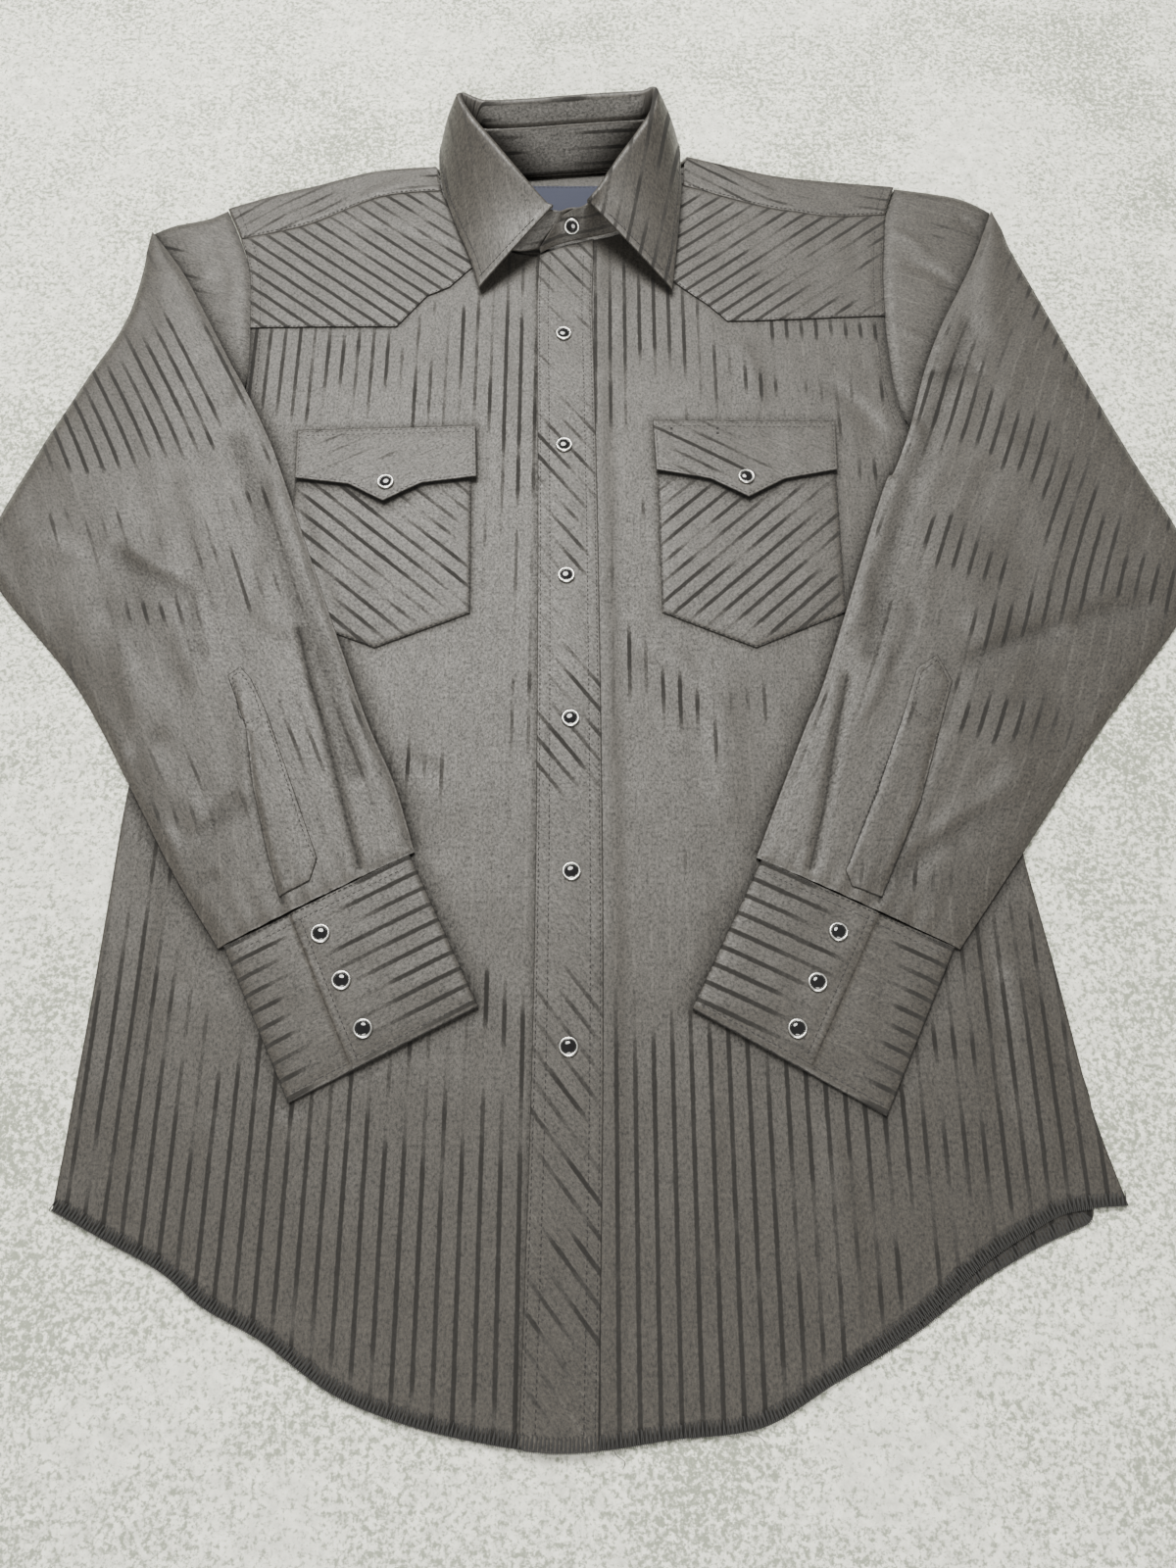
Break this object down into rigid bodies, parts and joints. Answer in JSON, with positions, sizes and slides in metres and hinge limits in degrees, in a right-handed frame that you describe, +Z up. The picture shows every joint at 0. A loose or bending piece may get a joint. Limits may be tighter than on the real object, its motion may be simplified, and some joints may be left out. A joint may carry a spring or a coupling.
{
  "type": "western snap shirt",
  "caption": "Long-sleeved western shirt, snapped shut and laid flat with both sleeves folded over its front; pointed yokes, snap flap pockets and a standing collar.",
  "frame": {"origin": "on the surface that the shirt lies on, under the middle of its outline", "axes": "+Z up out of the surface, +Y along the placket from the hem to the collar, +X to the wearer's left"},
  "size_m": [0.7336, 0.8243, 0.0485],
  "materials": {
    "cloth": "charcoal poly-cotton twill with a darker satin stripe",
    "label": "navy woven label",
    "metal": "nickel-plated snap ring",
    "pearl": "glossy black domed cap"
  },
  "bodies": {
    "root": {"back_panel": "cloth", "back_yoke": "cloth", "front_right": "cloth", "front_left": "cloth", "front_yoke_right": "cloth", "front_yoke_left": "cloth", "placket": "cloth", "pocket_right": "cloth", "pocket_left": "cloth", "flap_right": "cloth", "flap_left": "cloth", "sleeve_right": "cloth", "sleeve_left": "cloth", "sleeve_placket_right": "cloth", "sleeve_placket_left": "cloth", "cuff_right": "cloth", "cuff_left": "cloth", "collar_stand": "cloth", "collar_leaf": "cloth", "neck_label": "label", "snap_ring_neck": "metal", "snap_cap_neck": "pearl", "snap_ring_placket_1": "metal", "snap_cap_placket_1": "pearl", "snap_ring_placket_2": "metal", "snap_cap_placket_2": "pearl", "snap_ring_placket_3": "metal", "snap_cap_placket_3": "pearl", "snap_ring_placket_4": "metal", "snap_cap_placket_4": "pearl", "snap_ring_placket_5": "metal", "snap_cap_placket_5": "pearl", "snap_ring_placket_6": "metal", "snap_cap_placket_6": "pearl", "snap_ring_flap_right": "metal", "snap_cap_flap_right": "pearl", "snap_ring_flap_left": "metal", "snap_cap_flap_left": "pearl", "snap_ring_cuff_right_1": "metal", "snap_cap_cuff_right_1": "pearl", "snap_ring_cuff_right_2": "metal", "snap_cap_cuff_right_2": "pearl", "snap_ring_cuff_right_3": "metal", "snap_cap_cuff_right_3": "pearl", "snap_ring_cuff_left_1": "metal", "snap_cap_cuff_left_1": "pearl", "snap_ring_cuff_left_2": "metal", "snap_cap_cuff_left_2": "pearl", "snap_ring_cuff_left_3": "metal", "snap_cap_cuff_left_3": "pearl"}
  },
  "joints": []
}
